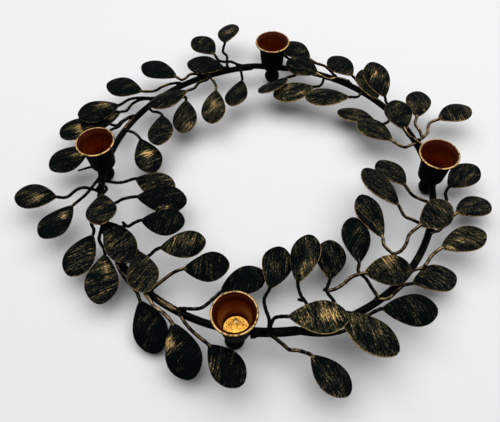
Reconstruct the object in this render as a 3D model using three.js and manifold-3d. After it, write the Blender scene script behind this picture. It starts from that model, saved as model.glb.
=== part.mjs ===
// Advent wreath candle holder
// A welded ring of steel rod stands on four balls and carries four candle cups
// and a wreath of stamped leaves, each brazed to the end of a bent wire stem.
// Millimetres, +Z up. The origin is on the table under the middle of the wreath, and -Y is the front.

import * as THREE from 'three';
import { mergeVertices } from 'three/addons/utils/BufferGeometryUtils.js';
import Module from 'manifold-3d';

const wasm = await Module();
wasm.setup();

// Welds: every welded piece keeps this clearance to what it is welded to

const weldGap = 0.3;

// Ring: two half rings of rod, lapped side by side where they meet, at the front cup and behind the back one

const ringRadius = 120;
const rodDiameter = 4.5;
const rodSides = 8;
const rodStepTurn = 5.5;
const frontLapAngle = -100;
const backLapAngle = 96;
const lapTurn = 12;
const jogTurn = 7;
const lapGap = 0.5;
const bowOut = 2.2;
const bowAngle = -45;

// Ball feet: turned balls with a small flat above and below

const ballDiameter = 12.6;
const ballFlatDiameter = 3.2;
const ballSides = 12;
const ballArcSteps = 5;

// Candle cups: spun cups that widen upwards and flare out to a rolled rim

const cups = {
  front: { angle: -94, out: 1 },
  right: { angle: 3, out: 0 },
  back: { angle: 91, out: -0.5 },
  left: { angle: 179.5, out: 1 },
};
const cupHeight = 25;
const cupBaseDiameter = 18.4;
const cupNeckDiameter = 21.2;
const cupRimDiameter = 28;
const cupLipDiameter = 1.7;
const cupFlareHeight = 6;
const cupFloorEdge = 1;
const cupWall = 0.8;
const cupFloor = 1;
const cupSides = 16;

// Leaves: one stamped blade, domed and rounded, widest beyond its middle

const leafLength = 33;
const leafWidth = 20;
const leafSheet = 0.9;
const leafDome = 1.6;
const leafStations = [0.02, 0.16, 0.36, 0.56, 0.74, 0.89, 0.985];

// Stems: soft wire, welded beside the rod for a short run and brazed under the blade

const wireDiameter = 1.9;
const wireSides = 5;
const wireStep = 8;
const weldRun = 3;
const brazeLength = 4;

// Heights that follow from the sizes above

const degree = Math.PI / 180;
const ballHeight = Math.sqrt(ballDiameter ** 2 - ballFlatDiameter ** 2);
const rodHeight = ballHeight + weldGap + rodDiameter / 2;
const cupBottom = rodHeight + rodDiameter / 2 + weldGap;

// Wreath: the leaves in the order they are welded round the ring, counter-clockwise from the left cup.
// A place is [degrees round the ring, millimetres out from its line, millimetres above its line].
// A stem is welded on the outer side, the inner side or the top of the rod at the weld angle,
// or branches off its twin at a start place, runs through the stem places and ends at the base of the blade.
// The blade points along the ring, turned inwards, pitched up at the tip and rolled up on its left, in degrees.
// A bare tail is the cut end of a wire. Two leaves in one list are welded up as one twin sprig.

const wreath = {
  front_left: [
    [{ weld: -169, side: 'outer', stem: [[-169, 10, 6.5], [-168.5, 15], [-166, 22]], base: [-166.5, 29, 7],
      turn: -106, pitch: -7, roll: -10 }],
    [{ weld: -173, side: 'outer', stem: [[-168, 10, 1.5]], base: [-164.5, 19.5, 1],
      turn: -36, pitch: 8, roll: -4, tail: [[-173, 3, 2], [-177, 4, 1], [-179.5, 9, 0.5], [-178, 20, 0]] }],
    [{ weld: -172, side: 'top', stem: [[-166.5, -6.5]], base: [-163.5, -4, 11],
      turn: 0, pitch: 16, roll: 0 }],
    [{ weld: -173, side: 'inner', stem: [[-171.5, -11.5], [-171.5, -16.5]], base: [-173, -25.5, 3],
      turn: 65, pitch: 5, roll: 10 }],
    [{ weld: -160, side: 'outer', stem: [[-156.5, 7.5], [-153.5, 7]], base: [-152, 8.5, 1],
      turn: -41, pitch: 0, roll: -13 }],
    [{ weld: -161.5, side: 'inner', stem: [[-161, -11.5], [-161.5, -17]], base: [-160, -27, 9],
      turn: 71, pitch: -5, roll: 8, size: 1.07 }],
    [{ weld: -155.5, side: 'top', stem: [[-153, 1, 4], [-151, 3, 4], [-148.5, 5.5], [-144.5, 5]],
      base: [-143, 6, 3], turn: -30, pitch: -5, roll: -10, size: 1.05 },
    { weld: -155, side: 'top', stem: [], base: [-151.5, -4, 11],
      turn: 9, pitch: -5, roll: 0, size: 1.05 }],
    [{ weld: -150.5, side: 'inner', stem: [[-150, -13, 4], [-148.5, -16], [-148.5, -19]], base: [-147.5, -25, 9],
      turn: 48, pitch: 14, roll: 12, tail: [[-149.5, -14.5, 4], [-152, -13, 4]] }],
    [{ weld: -145.5, side: 'inner', stem: [], base: [-137.5, -13, 4],
      turn: -20, pitch: 5, roll: 0 }],
    [{ weld: -138, side: 'outer', stem: [[-134, 4], [-130.5, 4], [-127, 4.5]], base: [-124.5, 7, -2],
      turn: -27, pitch: -12, roll: 7, size: 1.07 }],
    [{ weld: -137, side: 'inner', stem: [[-134, -16.5, 2], [-133, -21.5]], base: [-131.5, -24.5, 9],
      turn: 47, pitch: 12, roll: 10, size: 0.95 }],
    [{ weld: -123.5, side: 'outer', stem: [[-121, 4], [-119, 6], [-115, 6.5]], base: [-111.5, 9.5, 5],
      turn: -41, pitch: -14, roll: 4, size: 1.07 }],
    [{ weld: -123.5, side: 'inner', stem: [[-122.5, -8], [-120.5, -18]], base: [-118, -23, 9],
      turn: 27, pitch: 18, roll: 10, size: 0.96 }],
    [{ weld: -110.5, side: 'outer', stem: [[-109, 5], [-106.5, 8], [-104, 10.5]], base: [-100, 14.5, 5],
      turn: -36, pitch: 7, roll: 5, size: 0.97 }],
    [{ weld: -111, side: 'inner', stem: [[-107, -5], [-105.5, -7], [-103.5, -13]], base: [-101.5, -19, 7],
      turn: 49, pitch: -12, roll: 2 }],
  ],
  front_right: [
    [{ weld: -85, side: 'top', stem: [[-84.5, -6], [-85.5, -12], [-86, -18.5]], base: [-84, -25, 7],
      turn: 73, pitch: -5, roll: 12 },
    { weld: -84.8, side: 'top', stem: [[-83, -5]], base: [-79, -3.5, 13],
      turn: -12, pitch: 4, roll: 10, size: 1.07 }],
    [{ weld: -84, side: 'outer', stem: [[-81, 9.5], [-79.5, 13], [-77.5, 14]], base: [-74.5, 18, 3],
      turn: -62, pitch: 5, roll: -6, size: 0.93 }],
    [{ weld: -71.5, side: 'inner', stem: [[-72, -14], [-73, -18.5]], base: [-73, -27, 7],
      turn: 57, pitch: 10, roll: 10, tail: [[-72, -15, 5], [-74.5, -17, 5]] }],
    [{ weld: -75.5, side: 'outer', stem: [[-72, 7.5], [-68, 12], [-64.5, 14]], base: [-62.5, 3, 7],
      turn: -60, pitch: 3, roll: 8, size: 1.1 }],
    [{ weld: -63, side: 'inner', stem: [[-63, -10.5], [-63.5, -17.5, 4]], base: [-60.5, -23.5, 5],
      turn: 58, pitch: -10, roll: 4 },
    { start: [-64.5, -19.5, 4], stem: [[-63, -17.5, 4], [-60.5, -16], [-57.5, -16], [-54, -16.5]],
      base: [-50.5, -13.5, 13], turn: -22, pitch: -12, roll: 18 }],
    [{ weld: -59, side: 'outer', stem: [[-56, 7, 3], [-54.5, 7.5]], base: [-52.5, 9, 7],
      turn: -37, pitch: 3, roll: 12 }],
    [{ weld: -51, side: 'top', stem: [[-48.5, 5.5], [-45, 5.5], [-42, 6]], base: [-40, 9, 5],
      turn: -28, pitch: -12, roll: -5 },
    { weld: -50.8, side: 'top', stem: [[-50, -6], [-49.5, -13], [-50, -18.5]], base: [-47.5, -22.5, 7],
      turn: 53, pitch: 6, roll: 12 }],
    [{ weld: -35, side: 'outer', stem: [[-33.5, 7.5], [-31, 8.5], [-29, 8.5]], base: [-25, 12, 5],
      turn: -40, pitch: 2, roll: -5 }],
    [{ weld: -37.5, side: 'top', stem: [[-36, -8.5], [-35, -12.5, 4], [-34, -20]], base: [-31.5, -23.5, 5],
      turn: 57, pitch: 15, roll: 18 },
    { start: [-35.5, -12.5, 4], stem: [[-33, -9], [-30, -8.5], [-27, -9.5]], base: [-23, -6, 13],
      turn: -25, pitch: -8, roll: 18 }],
    [{ weld: -18.5, side: 'top', stem: [[-19, -6.5], [-19, -12], [-19, -17]], base: [-15.5, -23, 9],
      turn: 57, pitch: 8, roll: 9 }],
    [{ weld: -19.5, side: 'outer', stem: [[-19, 6.5], [-17, 9], [-12.5, 14]], base: [-11.5, 16, 5],
      turn: -45, pitch: -14, roll: -7 }],
    [{ weld: -9, side: 'inner', stem: [[-8, -8.5], [-7, -14]], base: [-3, -19.5, 5],
      turn: 30, pitch: -14, roll: 5 }],
    [{ weld: -11.5, side: 'outer', stem: [[-7, 9.5], [-4, 9]], base: [-1.5, 11.5, 3],
      turn: -44, pitch: -4, roll: -3, size: 0.97 }],
  ],
  back_right: [
    [{ weld: 19.5, side: 'outer', stem: [[20, 5.5, 3], [21.5, 11], [23, 13], [24.5, 16.5]], base: [24.5, 23.5, 7],
      turn: -81, pitch: -6, roll: -4 },
    { start: [19.8, 5, 3], stem: [[22.5, 5.5], [25.5, 4.5]], base: [27.5, 8, 9],
      turn: -38, pitch: -6, roll: 2 }],
    [{ weld: 17, side: 'top', stem: [[18.5, -4.5], [19, -9]], base: [21, -11, 15],
      turn: -11, pitch: -3, roll: -7 },
    { weld: 17.3, side: 'top', stem: [[17.5, -5], [16.5, -13]], base: [20.5, -20, 7],
      turn: 25, pitch: -6, roll: 3 }],
    [{ weld: 35, side: 'top', stem: [[37, -1.5], [38.5, -4]], base: [40, -3, 13],
      turn: -21, pitch: 12, roll: -2 }],
    [{ weld: 38.5, side: 'inner', stem: [[40.5, -6]], base: [42, -7.5, 10],
      turn: -24, pitch: 5, roll: 5 }],
    [{ weld: 35, side: 'inner', stem: [[33.5, -6.5], [32.5, -10], [33, -15]], base: [36, -17.5, 1],
      turn: 23, pitch: -11, roll: 12 }],
    [{ weld: 52, side: 'top', stem: [[54.5, 0]], base: [57, -1, 12],
      turn: -26, pitch: -8, roll: -5 }],
    [{ weld: 51, side: 'inner', stem: [[50.5, -6.5], [50, -12]], base: [52, -18.5, 7],
      turn: 40, pitch: -2, roll: 10 }],
    [{ weld: 64.5, side: 'top', stem: [[68, 4], [70.5, 6], [73.5, 5.5]], base: [76.5, 8, 7],
      turn: -33, pitch: -5, roll: -4 }],
    [{ weld: 58.5, side: 'top', stem: [[62.5, -4], [65, -11.5]], base: [70, -12.5, 11],
      turn: -19, pitch: -6, roll: -7 }],
    [{ weld: 69, side: 'inner', stem: [[68, -11.5], [68.5, -17.5]], base: [71, -20.5, 5],
      turn: 39, pitch: -3, roll: 5 }],
    [{ weld: 78, side: 'top', stem: [[79.5, 5, 2], [81.5, 10, 0.5], [84.5, 12, 0.5]], base: [87.5, 16, 2],
      turn: -48, pitch: 0, roll: 0 },
    { weld: 78.5, side: 'top', stem: [[79, -8], [80.5, -12]], base: [83.5, -16, 4],
      turn: 57, pitch: 8, roll: 9 }],
  ],
  back_left: [
    [{ weld: 105, side: 'outer', stem: [[107.5, 7], [109, 7, 4], [112, 7.5]], base: [113, 14, 9],
      turn: -73, pitch: -5, roll: -3 },
    { weld: 109.5, side: 'outer', stem: [[109, 7, 4], [108.5, 12.5], [109.5, 16]], base: [108, 24, 11],
      turn: -110, pitch: -9, roll: -13 }],
    [{ weld: 105, side: 'inner', stem: [[104.5, -16]], base: [105, -20, 4],
      turn: 59, pitch: 0, roll: 4 }],
    [{ weld: 110, side: 'top', stem: [], base: [111.5, -5.5, 9],
      turn: -32, pitch: -3, roll: -5 }],
    [{ weld: 118.5, side: 'inner', stem: [[119.5, -8.5], [124, -11], [128.5, -17.5]], base: [132, -18, 10],
      turn: -7, pitch: -2, roll: 14 },
    { weld: 118.8, side: 'inner', stem: [[118, -13.5], [118.5, -23]], base: [120, -29, 9],
      turn: 61, pitch: -9, roll: 5 }],
    [{ weld: 121.5, side: 'outer', stem: [[124.5, 4.5], [127.5, 1, 5], [129.5, 0, 6]], base: [130.5, 4.5, 7],
      turn: -64, pitch: 0, roll: 0 }],
    [{ weld: 131, side: 'outer', stem: [[134, 4.5], [137, 5], [141, 4.5]], base: [144.5, 10.5, 7],
      turn: -69, pitch: -2, roll: -4 }],
    [{ weld: 133, side: 'inner', stem: [[134, -13.5, 2], [133, -16, 2.5]], base: [134.5, -21, 4],
      turn: 51, pitch: -6, roll: 4 }],
    [{ weld: 143.5, side: 'outer', stem: [[146.5, 7.5], [150, 11.5]], base: [155.5, 11.5, 11],
      turn: -40, pitch: 0, roll: -9 },
    { weld: 144, side: 'outer', stem: [[147, 8], [150.5, 9.5], [154.5, 8]], base: [157, 11.5, 5],
      turn: -50, pitch: 0, roll: -9 }],
    [{ weld: 147.5, side: 'inner', stem: [[149.5, -11], [149, -16]], base: [150, -22.5, 8],
      turn: 37, pitch: 3, roll: 10 }],
    [{ weld: 155.5, side: 'outer', stem: [[159, 6.5], [161, 8]], base: [160.5, 32.5, -1],
      turn: -8, pitch: 10, roll: -9 },
    { weld: 156, side: 'outer', stem: [[159.5, 4.5], [162, 4.5], [164, 7.5]], base: [173.5, 15.5, 5],
      turn: -36, pitch: 2, roll: -5 }],
    [{ weld: 162, side: 'inner', stem: [[162.5, -10.5]], base: [165, -16.5, 4],
      turn: 44, pitch: -8, roll: 0 }],
  ],
};

// Finishes

const blackPaint = { color: 0x161b1c, roughness: 0.6, metalness: 0.3 };
const brushedGold = { color: 0x2b2a20, roughness: 0.55, metalness: 0.5 };
const goldLacquer = { color: 0x8a5a20, roughness: 0.35, metalness: 0.9 };

// Solids

function solidOf(geometry) {
  const plain = geometry.clone();
  plain.deleteAttribute('normal');
  plain.deleteAttribute('uv');
  const merged = mergeVertices(plain);
  const vertProperties = Float32Array.from(merged.attributes.position.array);
  const triVerts = Uint32Array.from(merged.index.array);
  return new wasm.Manifold(new wasm.Mesh({ numProp: 3, vertProperties, triVerts }));
}

function geometryOf(solid) {
  const mesh = solid.getMesh();
  const geometry = new THREE.BufferGeometry();
  geometry.setAttribute('position', new THREE.BufferAttribute(mesh.vertProperties, 3));
  geometry.setIndex(new THREE.BufferAttribute(mesh.triVerts, 1));
  geometry.computeVertexNormals();
  return geometry;
}

function piece(name, geometry, finish) {
  const mesh = new THREE.Mesh(geometry, new THREE.MeshStandardMaterial(finish));
  mesh.name = name;
  return mesh;
}

function roundSection(diameter, sides) {
  const corners = [];
  for (let side = 0; side < sides; side += 1) {
    const angle = (side / sides) * 360 * degree;
    corners.push(new THREE.Vector2(Math.cos(angle), Math.sin(angle)).multiplyScalar(diameter / 2));
  }
  return new THREE.Shape(corners);
}

function tube(path, diameter, sides, steps) {
  return new THREE.ExtrudeGeometry(roundSection(diameter, sides), { steps, extrudePath: path });
}

// Places round the ring

function placeAt([angle, out, rise]) {
  const radius = ringRadius + out;
  return new THREE.Vector3(radius * Math.cos(angle * degree), radius * Math.sin(angle * degree), rodHeight + rise);
}

// A half ring starts inside its fellow at one lap, eases onto the ring's line and ends outside at the next lap.
// The right half ring is bowed out a little between the front cup and the right cup.

const halfRings = {
  right: { start: frontLapAngle, turn: backLapAngle + lapTurn - frontLapAngle },
  left: { start: backLapAngle, turn: 360 + frontLapAngle + lapTurn - backLapAngle },
};
const lapShift = (rodDiameter + lapGap) / 2;

function rodShift(rod, turn) {
  const leaving = 1 - THREE.MathUtils.smoothstep(turn, lapTurn, lapTurn + jogTurn);
  const joining = THREE.MathUtils.smoothstep(turn, rod.turn - lapTurn - jogTurn, rod.turn - lapTurn);
  const facing = (1 + Math.cos((rod.start + turn - bowAngle) * degree)) / 2;
  return lapShift * (joining - leaving) + bowOut * facing ** 6;
}

class HalfRingLine extends THREE.Curve {
  constructor(rod) {
    super();
    this.rod = rod;
  }

  getPoint(share, target = new THREE.Vector3()) {
    const turn = share * this.rod.turn;
    return target.copy(placeAt([this.rod.start + turn, rodShift(this.rod, turn), 0]));
  }
}

function halfRing(rod) {
  return tube(new HalfRingLine(rod), rodDiameter, rodSides, Math.round(rod.turn / rodStepTurn));
}

// The rods met at an angle, as shifts from the ring's line: one rod, or two in a lap

function rodShiftsAt(angle) {
  const shifts = [];
  for (const rod of Object.values(halfRings)) {
    const turn = THREE.MathUtils.euclideanModulo(angle - rod.start, 360);
    if (turn <= rod.turn) {
      shifts.push(rodShift(rod, turn));
    }
  }
  return shifts;
}

const weldSides = { outer: 45, top: 90, inner: 135 };

function weldPlace(angle, side) {
  const shifts = rodShiftsAt(angle);
  const shift = side === 'inner' ? Math.min(...shifts) : Math.max(...shifts);
  const reach = rodDiameter / 2 + weldGap + wireDiameter / 2;
  const around = weldSides[side] * degree;
  return [angle, shift + reach * Math.cos(around), reach * Math.sin(around)];
}

// Ball foot, with its lower flat on the table

function ballFoot() {
  const radius = ballDiameter / 2;
  const flatAngle = Math.asin(ballFlatDiameter / ballDiameter);
  const profile = [new THREE.Vector2(0, 0)];
  for (let step = 0; step <= ballArcSteps; step += 1) {
    const angle = flatAngle + (step / ballArcSteps) * (Math.PI - 2 * flatAngle);
    profile.push(new THREE.Vector2(radius * Math.sin(angle), ballHeight / 2 - radius * Math.cos(angle)));
  }
  profile.push(new THREE.Vector2(0, ballHeight));
  return new THREE.LatheGeometry(profile, ballSides).rotateX(90 * degree);
}

// Candle cup, with its base on the rod

function candleCup() {
  const base = cupBaseDiameter / 2;
  const neck = cupNeckDiameter / 2;
  const lip = cupLipDiameter / 2;
  const lipMiddle = new THREE.Vector2(cupRimDiameter / 2 - lip, cupHeight - lip);
  const neckHeight = cupHeight - cupFlareHeight;
  const at = (radius, height) => new THREE.Vector2(radius, height);
  const onLip = (angle) => at(lip * Math.cos(angle * degree), lip * Math.sin(angle * degree)).add(lipMiddle);
  const outerFlare = new THREE.QuadraticBezierCurve(
    at(neck, neckHeight),
    at(neck + cupWall, lipMiddle.y - lip),
    onLip(-60),
  );
  const innerFlare = new THREE.QuadraticBezierCurve(
    onLip(180),
    at(neck, lipMiddle.y - lip),
    at(neck - cupWall, neckHeight),
  );
  const profile = [
    at(0, 0),
    at(base - cupFloorEdge, 0),
    at(base - cupFloorEdge * 0.3, cupFloorEdge * 0.3),
    at(base, cupFloorEdge),
    ...outerFlare.getPoints(3),
    onLip(0),
    onLip(60),
    onLip(120),
    ...innerFlare.getPoints(3),
    at(base - cupWall, cupFloor),
    at(0, cupFloor),
  ];
  return new THREE.LatheGeometry(profile, cupSides).rotateX(90 * degree);
}

// Leaf blade, lying along +X from its base with its domed face up

function halfWidthAt(share) {
  return (leafWidth / 2) * Math.sin(Math.PI * share ** 1.5) ** 0.6;
}

function blade() {
  const stations = leafStations.length - 1;
  const geometry = new THREE.BoxGeometry(stations, 2, 1, stations, 2, 1);
  const corners = geometry.attributes.position;
  for (let index = 0; index < corners.count; index += 1) {
    const share = leafStations[Math.round(corners.getX(index) + stations / 2)];
    const across = corners.getY(index);
    const halfWidth = halfWidthAt(share);
    const dome = leafDome * (1 - across ** 2) * 4 * share * (1 - share);
    corners.setXYZ(
      index,
      share * leafLength,
      across * halfWidth,
      corners.getZ(index) * leafSheet + dome,
    );
  }
  return geometry;
}

function bladeFrame(leaf) {
  const heading = (leaf.base[0] + 90 + leaf.turn) * degree;
  const pitch = leaf.pitch * degree;
  const roll = leaf.roll * degree;
  const along = new THREE.Vector3(
    Math.cos(pitch) * Math.cos(heading),
    Math.cos(pitch) * Math.sin(heading),
    Math.sin(pitch),
  );
  const level = new THREE.Vector3(-Math.sin(heading), Math.cos(heading), 0);
  const lifted = new THREE.Vector3().crossVectors(along, level);
  const left = level.multiplyScalar(Math.cos(roll)).addScaledVector(lifted, Math.sin(roll));
  const up = new THREE.Vector3().crossVectors(along, left);
  return new THREE.Matrix4().makeBasis(along, left, up).setPosition(placeAt(leaf.base));
}

// Stem: places with no height of their own rise evenly between those that have one

function withHeights(places) {
  const flat = places.map(([angle, out]) => placeAt([angle, out, 0]));
  const travel = [0];
  for (let index = 1; index < flat.length; index += 1) {
    travel.push(travel[index - 1] + flat[index].distanceTo(flat[index - 1]));
  }
  return places.map(([angle, out, rise], index) => {
    if (rise !== undefined) {
      return [angle, out, rise];
    }
    let before = index;
    while (places[before][2] === undefined) {
      before -= 1;
    }
    let after = index;
    while (places[after][2] === undefined) {
      after += 1;
    }
    const share = (travel[index] - travel[before]) / (travel[after] - travel[before]);
    return [angle, out, THREE.MathUtils.lerp(places[before][2], places[after][2], share)];
  });
}

function stemStart(leaf) {
  if (leaf.start) {
    return [leaf.start];
  }
  const next = leaf.stem[0] ?? leaf.base;
  const runTurn = (weldRun / ringRadius / degree) * (next[0] < leaf.weld ? 1 : -1);
  return [weldPlace(leaf.weld + runTurn, leaf.side), weldPlace(leaf.weld, leaf.side)];
}

function wire(points) {
  const path = new THREE.CatmullRomCurve3(points);
  const steps = Math.max(3, Math.round(path.getLength() / wireStep));
  return tube(path, wireDiameter, wireSides, steps);
}

function leafSolid(leaf) {
  const size = leaf.size ?? 1;
  const frame = bladeFrame(leaf);
  const places = withHeights([...stemStart(leaf), ...leaf.stem, leaf.base]);
  const points = places.map(placeAt);
  points.push(new THREE.Vector3(brazeLength, 0, 0).applyMatrix4(frame));
  const stamped = blade().applyMatrix4(frame.clone().scale(new THREE.Vector3(size, size, 1)));
  let solid = solidOf(stamped).add(solidOf(wire(points)));
  if (leaf.tail) {
    solid = solid.add(solidOf(wire(leaf.tail.map(placeAt))));
  }
  return solid;
}

// Assembly

const candleHolder = new THREE.Group();

for (const [side, rod] of Object.entries(halfRings)) {
  candleHolder.add(piece(`${side}_half_ring`, halfRing(rod), blackPaint));
}

for (const [side, { angle, out }] of Object.entries(cups)) {
  const cup = piece(`${side}_candle_cup`, candleCup(), goldLacquer);
  cup.position.copy(placeAt([angle, out, cupBottom - rodHeight]));
  const foot = piece(`${side}_ball_foot`, ballFoot(), blackPaint);
  foot.position.copy(placeAt([angle, Math.max(...rodShiftsAt(angle)), -rodHeight]));
  candleHolder.add(cup, foot);
}

for (const [quarter, sprigs] of Object.entries(wreath)) {
  const counts = { leaf: 0, twin: 0 };
  for (const sprig of sprigs) {
    const kind = sprig.length > 1 ? 'twin' : 'leaf';
    counts[kind] += 1;
    const solid = sprig.map(leafSolid).reduce((joined, next) => joined.add(next));
    candleHolder.add(piece(`${quarter}_${kind}_${counts[kind]}`, geometryOf(solid), brushedGold));
  }
}

// The leaves reach further on some sides than on others, so the wreath is centred by its whole outline

const outline = new THREE.Box3().setFromObject(candleHolder, true);
const middle = outline.getCenter(new THREE.Vector3());
candleHolder.position.set(-middle.x, -middle.y, 0);

export default candleHolder;
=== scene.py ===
# %% [markdown]
# # Advent wreath candle holder
# A table wreath of black metal leaves, rubbed with antique gold, that holds four candles.
# The packed solids give every piece its place and size. This lesson dresses them: each solid is
# replaced by a finer mesh made from the same measurements, and each gets the finish of the real metal.

# %% Load the packed solids
import math
from typing import NamedTuple

import bpy
from mathutils import Matrix, Vector


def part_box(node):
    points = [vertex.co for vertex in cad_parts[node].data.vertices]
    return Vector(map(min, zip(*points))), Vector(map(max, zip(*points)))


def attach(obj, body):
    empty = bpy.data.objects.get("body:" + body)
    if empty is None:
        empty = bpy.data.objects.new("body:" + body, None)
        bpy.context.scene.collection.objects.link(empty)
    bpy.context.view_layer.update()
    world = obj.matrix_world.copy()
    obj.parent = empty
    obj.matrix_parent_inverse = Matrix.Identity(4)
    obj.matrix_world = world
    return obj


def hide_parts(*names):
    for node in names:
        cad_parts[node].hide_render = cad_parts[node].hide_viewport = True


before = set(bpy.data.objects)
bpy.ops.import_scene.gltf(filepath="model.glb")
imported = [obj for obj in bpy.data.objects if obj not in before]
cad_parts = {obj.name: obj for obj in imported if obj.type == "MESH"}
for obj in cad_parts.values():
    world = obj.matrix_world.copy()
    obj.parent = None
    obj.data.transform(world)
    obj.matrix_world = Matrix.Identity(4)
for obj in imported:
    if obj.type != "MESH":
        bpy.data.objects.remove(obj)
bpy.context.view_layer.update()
print(len(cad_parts), "solids loaded")

# %% [markdown]
# ## Where the ring is
# Every leaf is placed from the ring: degrees round it, millimetres out from its line, millimetres above
# it. Plain x, y and z would do too, but a welder thinks in places round the ring.
# The frame's origin is under the middle of the whole outline, and the leaves reach further on some
# sides, so the ring's own middle is worked back from a cup whose place on the ring is known.

# %% Ring measurements
MM = 0.001
RING_RADIUS = 120
ROD_DIAMETER = 4.5
WELD_GAP = 0.3
BALL_DIAMETER = 12.6
BALL_FLAT = 3.2
BALL_HEIGHT = math.sqrt(BALL_DIAMETER**2 - BALL_FLAT**2)
ROD_HEIGHT = BALL_HEIGHT + WELD_GAP + ROD_DIAMETER / 2
# Each cup's degrees round the ring and millimetres out from its line.
CUPS = {"front": (-94, 1), "right": (3, 0), "back": (91, -0.5), "left": (179.5, 1)}

cup_low, cup_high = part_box("right_candle_cup")
right_angle = math.radians(CUPS["right"][0])
RING_MIDDLE = (cup_low + cup_high) / 2 / MM
RING_MIDDLE -= RING_RADIUS * Vector((math.cos(right_angle), math.sin(right_angle), 0))
RING_MIDDLE.z = 0


def place(angle, out, rise):
    """A place round the ring as a point in millimetres."""
    turn = math.radians(angle)
    reach = RING_RADIUS + out
    return RING_MIDDLE + Vector((reach * math.cos(turn), reach * math.sin(turn), ROD_HEIGHT + rise))


print("ring middle", [round(value, 2) for value in RING_MIDDLE])

# %% [markdown]
# ## Camera
# The photograph was taken from above the front, a little to the right. A camera can be aimed by eye,
# but here it was fitted to the four cup rims and the four feet, so that every leaf can be compared.
# The fit gives its place from the middle of the ring, and how far it is turned, tipped and rolled.

# %% Camera
PHOTO_WIDTH = 500
FOCAL_PIXELS = 517.2
SENSOR_WIDTH = 36
CAMERA_PLACE = Vector((16.56, -236.78, 314.63))
CAMERA_YAW = math.radians(6.822)
CAMERA_PITCH = math.radians(55.485)
CAMERA_ROLL = math.radians(-2.17)

flat = math.cos(CAMERA_PITCH)
ahead = Vector((-math.sin(CAMERA_YAW) * flat, math.cos(CAMERA_YAW) * flat, -math.sin(CAMERA_PITCH)))
level = Vector((math.cos(CAMERA_YAW), math.sin(CAMERA_YAW), 0))
upright = level.cross(ahead)
across = math.cos(CAMERA_ROLL) * level + math.sin(CAMERA_ROLL) * upright
upward = math.cos(CAMERA_ROLL) * upright - math.sin(CAMERA_ROLL) * level

lens = bpy.data.cameras.new("camera")
lens.sensor_fit = "HORIZONTAL"
lens.sensor_width = SENSOR_WIDTH
lens.lens = FOCAL_PIXELS / PHOTO_WIDTH * SENSOR_WIDTH
camera = bpy.data.objects.new("camera", lens)
aimed = Matrix((across, upward, -ahead)).transposed().to_4x4()
camera.matrix_world = Matrix.Translation((RING_MIDDLE + CAMERA_PLACE) * MM) @ aimed
bpy.context.scene.collection.objects.link(camera)
bpy.context.scene.camera = camera
print("lens", round(lens.lens, 2), "mm")

# %% [markdown]
# ## Colours and nodes
# Colours are written as sRGB hex values, and one function turns them into the linear values that Blender
# mixes light in. Nodes could be wired by hand in the editor; one small function that adds a node with its
# settings and its links does the same in a line of script.


# %% Colour and node helpers
def linear(hex_colour):
    """The linear colour, with alpha, of an sRGB hex value."""
    values = []
    for start in (1, 3, 5):
        share = int(hex_colour[start : start + 2], 16) / 255
        values.append(share / 12.92 if share <= 0.04045 else ((share + 0.055) / 1.055) ** 2.4)
    return (*values, 1)


def set_inputs(tree, node, inputs):
    """Links the sockets and sets the values that a node takes in."""
    for name, value in inputs.items():
        if isinstance(value, bpy.types.NodeSocket):
            tree.links.new(value, node.inputs[name])
        else:
            node.inputs[name].default_value = value


def add_node(tree, kind, inputs, output=0, **settings):
    """Adds a node with its settings and links, and gives the output that is wanted."""
    made = tree.nodes.new(kind)
    for name, value in settings.items():
        setattr(made, name, value)
    set_inputs(tree, made, inputs)
    return made.outputs[output]


def new_material(name):
    """A new material, its node tree and its surface shader."""
    material = bpy.data.materials.new(name)
    material.use_nodes = True
    return material, material.node_tree, material.node_tree.nodes["Principled BSDF"]


# A colour mix takes these sockets for the colour below and the colour above, and gives this one.
MIX_BELOW = 6
MIX_ABOVE = 7
MIX_RESULT = 2
print("gold as light", [round(value, 3) for value in linear("#d8a94f")])

# %% [markdown]
# ## Table and light
# The wreath lies on a pale table under one broad soft light from above, so its shadows fall almost
# straight down, with soft edges. The sky adds a little from all sides. What the camera or a shiny
# surface sees of the sky is a plain pale wall. A brighter lamp could whiten the background too, but it
# would bleach the wreath.

# %% Table and light
FLOOR_WIDTH = 6
FADE_START = 0.45
FADE_END = 1.3
LIGHT_HEIGHT = 1.2
LIGHT_WIDTH = 2.6
LIGHT_DEPTH = 1.6
LIGHT_RIGHT = 0.15
LIGHT_BACK = 0.3
LIGHT_POWER = 28.5
SKY_STRENGTH = 0.1

half_floor = FLOOR_WIDTH / 2
corners = [(x * half_floor, y * half_floor, 0) for x, y in ((-1, -1), (1, -1), (1, 1), (-1, 1))]
floor_mesh = bpy.data.meshes.new("table_top")
floor_mesh.from_pydata(corners, [], [(0, 1, 2, 3)])
floor = bpy.data.objects.new("table_top", floor_mesh)
bpy.context.scene.collection.objects.link(floor)
# White laminate: a smooth, almost matt sheet that shows soft shadows and no grain.
# Past the light it fades into the pale wall, so that no dark edge shows in a low view.
floor_paint, tree, shader = new_material("white_laminate")
spot = add_node(tree, "ShaderNodeNewGeometry", {}, "Position")
reach = add_node(tree, "ShaderNodeVectorMath", {0: spot}, "Value", operation="LENGTH")
ramp = {"Value": reach, "From Min": FADE_START, "From Max": FADE_END, "To Min": 1, "To Max": 0}
shown = add_node(tree, "ShaderNodeMapRange", ramp, interpolation_type="SMOOTHSTEP")
surface = {"Base Color": linear("#ebebec"), "Roughness": 0.6, "Alpha": shown}
set_inputs(tree, shader, {**surface, "Specular IOR Level": 0.2})
floor_mesh.materials.append(floor_paint)

lamp = bpy.data.lights.new("soft_light", "AREA")
lamp.shape = "RECTANGLE"
lamp.size = LIGHT_WIDTH
lamp.size_y = LIGHT_DEPTH
lamp.energy = LIGHT_POWER
soft_light = bpy.data.objects.new("soft_light", lamp)
soft_light.location = (LIGHT_RIGHT, LIGHT_BACK, LIGHT_HEIGHT)
bpy.context.scene.collection.objects.link(soft_light)

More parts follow.
